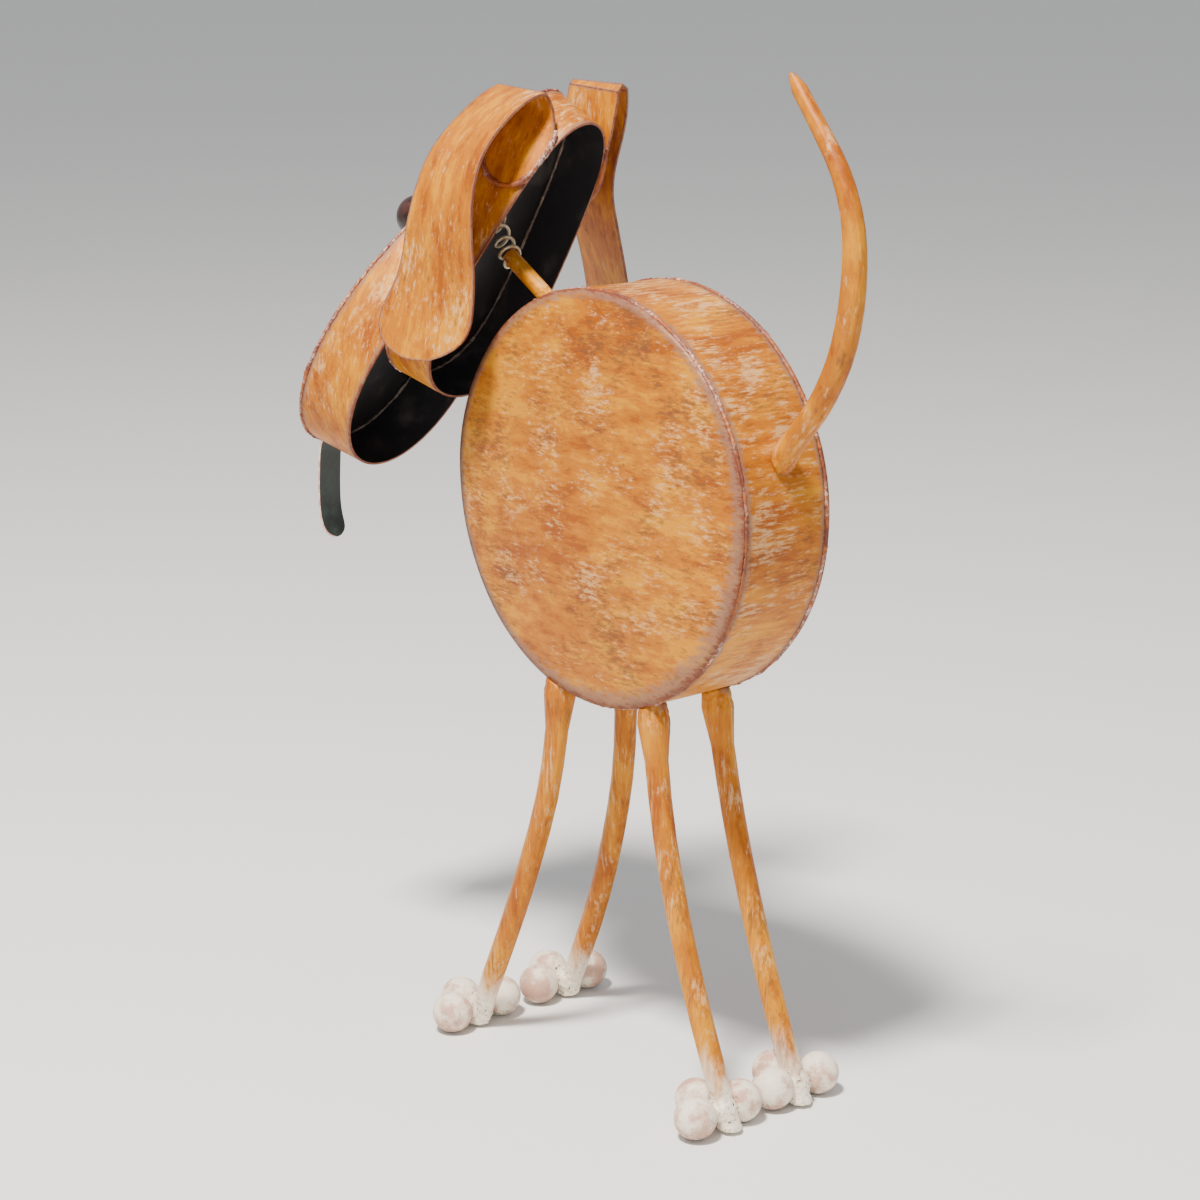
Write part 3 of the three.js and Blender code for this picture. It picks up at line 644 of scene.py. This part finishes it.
# Pans of the head
# Skull and muzzle are two egg-shaped pans of sheet, the muzzle laid low on the skull's face. Both
# are open behind and black inside; rims and plates meet in a thin grey seam.
pan_paint = painted("pan_paint", (0.3, 1, 0.3), 0.45, 0.35)
PAN_BLACK = (0.012, 0.012, 0.015, 1)
PAN_DUST = (0.05, 0.047, 0.045, 1)
HEAD_CENTRE = ground_centre + Vector((0.0033, -0.1484, 0.5260))
HEAD_FORWARD = Vector((0.158, -0.8965, 0.414)).normalized()
PLATE_BEAD_RADIUS = 0.0011


def build_pan_black():
    material = bpy.data.materials.new("pan_black")
    material.use_nodes = True
    nodes, links = material.node_tree.nodes, material.node_tree.links
    shader = nodes["Principled BSDF"]
    place = nodes.new("ShaderNodeTexCoord").outputs["Object"]
    dusty = step_node(nodes, links, noise_node(nodes, links, place, 40, 5, 0.7), 0.5, 0.72)
    links.new(tint_node(nodes, links, dusty, PAN_BLACK, PAN_DUST), shader.inputs["Base Color"])
    links.new(math_node(nodes, links, "MULTIPLY_ADD", dusty, 0.25, 0.5), shader.inputs["Roughness"])
    return material


def build_seam_grey():
    material = bpy.data.materials.new("seam_grey")
    material.use_nodes = True
    nodes, links = material.node_tree.nodes, material.node_tree.links
    shader = nodes["Principled BSDF"]
    place = nodes.new("ShaderNodeTexCoord").outputs["Object"]
    bright = step_node(nodes, links, noise_node(nodes, links, place, 120, 4, 0.7), 0.45, 0.6)
    colour = tint_node(nodes, links, bright, (0.11, 0.085, 0.072, 1), (0.25, 0.20, 0.17, 1))
    links.new(colour, shader.inputs["Base Color"])
    shader.inputs["Roughness"].default_value = 0.6
    return material


pan_black = build_pan_black()
seam_grey = build_seam_grey()


def sharp_distance(bm, sharp_degrees, reach):
    """Measures each point's closeness to the nearest true edge of its sheet."""
    corners = set()
    for edge in bm.edges:
        if len(edge.link_faces) == 2 and edge.calc_face_angle() > math.radians(sharp_degrees):
            corners.update(edge.verts)
    tree = KDTree(len(corners))
    for i, vert in enumerate(corners):
        tree.insert(vert.co, i)
    tree.balance()
    return lambda p: 1.0 - tree.find(p)[2] / reach


def sheet_piece(name, node_name, levels, material, is_inside, reach=0.0035):
    bm = rounded_copy(node_name, levels)
    bm.normal_update()
    give_edge(bm, sharp_distance(bm, 38, reach))
    piece_faces = {face.index for face in bm.faces if is_inside(face)}
    piece = link_piece(name, bm, material, "head")
    piece.data.materials.append(pan_black)
    for polygon in piece.data.polygons:
        if polygon.index in piece_faces:
            polygon.material_index = 1
    sharpen(piece)
    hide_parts(node_name)
    return piece


def sharpen(piece):
    """Keeps the shading crisp at the sheet's edges."""
    bm = bmesh.new()
    bm.from_mesh(piece.data)
    for edge in bm.edges:
        if len(edge.link_faces) == 2 and edge.calc_face_angle() > math.radians(38):
            edge.smooth = False
    bm.to_mesh(piece.data)
    bm.free()


def pan_axis(node_name):
    low, high = (Vector(corner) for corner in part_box(node_name))
    return (low + high) / 2


def inner_face(centre):
    def test(face):
        away = face.calc_center_median() - centre
        away -= HEAD_FORWARD * away.dot(HEAD_FORWARD)
        return face.normal.dot(away.normalized()) < -0.3
    return test


def back_face(face):
    return face.normal.dot(HEAD_FORWARD) < -0.7


def plate_outline(node_name, inset, back):
    """Points round a plate's edge, moved in and back from it, close enough for a bead."""
    bm = plain_copy(node_name)
    centre = sum((v.co for v in bm.verts), Vector()) / len(bm.verts)
    depths = [(v.co - centre).dot(HEAD_FORWARD) for v in bm.verts]
    rear = [v for v, depth in zip(bm.verts, depths) if depth < 0]
    middle = sum((v.co for v in rear), Vector()) / len(rear)
    side = HEAD_FORWARD.orthogonal().normalized()
    over = HEAD_FORWARD.cross(side)
    ring = sorted((v.co.copy() for v in rear),
                  key=lambda p: math.atan2((p - middle).dot(side), (p - middle).dot(over)))
    bm.free()
    ring = [p - (p - middle).normalized() * inset - HEAD_FORWARD * back for p in ring]
    dense = []
    for here, following in zip(ring, ring[1:] + ring[:1]):
        steps = max(1, round((following - here).length / 0.0014))
        dense += [here.lerp(following, i / steps) for i in range(steps)]
    return dense


skull_centre = pan_axis("skull_band")
muzzle_centre = pan_axis("muzzle_band")
sheet_piece("skull_face", "skull_plate", 2, pan_paint, back_face)
sheet_piece("skull_rim", "skull_band", 3, pan_paint, inner_face(skull_centre))
sheet_piece("muzzle_rim", "muzzle_band", 3, pan_paint, inner_face(muzzle_centre))
sheet_piece("muzzle_face", "muzzle_plate", 2, pan_paint, back_face)
weld("skull_inner_seam", plate_outline("skull_plate", 0.0022, 0.0012), PLATE_BEAD_RADIUS, "head",
     seam_grey, 0.0006, 11)
weld("muzzle_inner_seam", plate_outline("muzzle_plate", 0.0022, 0.0012), PLATE_BEAD_RADIUS, "head",
     seam_grey, 0.0006, 12)
weld("muzzle_edge_weld", plate_outline("muzzle_plate", 0.0001, -0.0002), 0.0013, "head",
     weld_paint, 0.0006, 13)
weld("skull_edge_weld", plate_outline("skull_plate", 0.0003, -0.0002), 0.001, "head",
     weld_paint, 0.0006, 14)


# Ears
# Each ear is one strap of sheet, welded to the skull's rim by its rounded end, bent up in a loop
# and left to hang. The cut edges show thin and purplish brown.
ear_paint = painted("ear_paint", (0.3, 1, 0.3), 0.34, 0.3)
EAR_WELD_REACH = 0.0032
rim_shape = bpy.data.objects["skull_rim"].data
rim_tree = KDTree(len(rim_shape.vertices))
for vert in rim_shape.vertices:
    rim_tree.insert(vert.co, vert.index)
rim_tree.balance()
for ear_side, seed in (("left", 21), ("right", 22)):
    strap = sheet_piece(f"strap_ear_{ear_side}", f"ear_{ear_side}", 3, ear_paint, lambda face: False, 0.0022)
    on_edge = strap.data.attributes["edge"].data
    root = [vert.co.copy() for vert in strap.data.vertices
            if on_edge[vert.index].value > 0.98 and rim_tree.find(vert.co)[2] < EAR_WELD_REACH]
    weld(f"ear_weld_{ear_side}", root, 0.0015, "head", weld_paint, 0.0008, seed)


# Eyes, nose and tongue
# Two dark maroon balls and a black one sit on the muzzle's face. The tongue is a bent strip, red
# in front and dark behind with a painted green reflection, hung from the muzzle's foot.
def build_enamel(name, tone, deep, roughness):
    material = bpy.data.materials.new(name)
    material.use_nodes = True
    nodes, links = material.node_tree.nodes, material.node_tree.links
    shader = nodes["Principled BSDF"]
    place = nodes.new("ShaderNodeTexCoord").outputs["Object"]
    mottled = step_node(nodes, links, noise_node(nodes, links, place, 90, 5, 0.7), 0.4, 0.65)
    links.new(tint_node(nodes, links, mottled, deep, tone), shader.inputs["Base Color"])
    links.new(math_node(nodes, links, "MULTIPLY_ADD", mottled, 0.15, roughness), shader.inputs["Roughness"])
    dents = nodes.new("ShaderNodeBump")
    dents.inputs["Strength"].default_value = 0.2
    dents.inputs["Distance"].default_value = 0.0004
    links.new(noise_node(nodes, links, place, 420, 3, 0.6), dents.inputs["Height"])
    links.new(dents.outputs["Normal"], shader.inputs["Normal"])
    return material


eye_maroon = build_enamel("eye_maroon", (0.045, 0.013, 0.009, 1), (0.012, 0.006, 0.005, 1), 0.24)
nose_black = build_enamel("nose_black", (0.03, 0.028, 0.028, 1), (0.008, 0.008, 0.008, 1), 0.32)
tongue_red = build_enamel("tongue_red", (0.46, 0.07, 0.05, 1), (0.30, 0.035, 0.03, 1), 0.45)
# The tongue's back is dark primer tinted green as painted reflection.
tongue_back_with_painted_reflection = build_enamel("tongue_back_with_painted_reflection", (0.020, 0.034, 0.028, 1), (0.008, 0.013, 0.011, 1), 0.45)
for node_name, material, slot in (("eye_left", eye_maroon, "eye"), ("eye_right", eye_maroon, "eye"),
                                  ("nose", nose_black, "nose")):
    ball = link_piece(f"ball_{node_name}", rounded_copy(node_name, 3, 50), material, "head")
    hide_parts(node_name)

tongue = link_piece("tongue_strip", rounded_copy("tongue", 3), tongue_red, "head")
tongue.data.materials.append(tongue_back_with_painted_reflection)
tongue_edge = build_enamel("tongue_edge", (0.72, 0.62, 0.50, 1), (0.45, 0.20, 0.16, 1), 0.5)
tongue.data.materials.append(tongue_edge)
for polygon in tongue.data.polygons:
    facing = polygon.normal.dot(Vector((0.17, -0.98, 0)))
    if facing < -0.55:
        polygon.material_index = 1
    elif facing < 0.4 and abs(polygon.normal.z) < 0.85:
        polygon.material_index = 2
sharpen(tongue)
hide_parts("tongue")
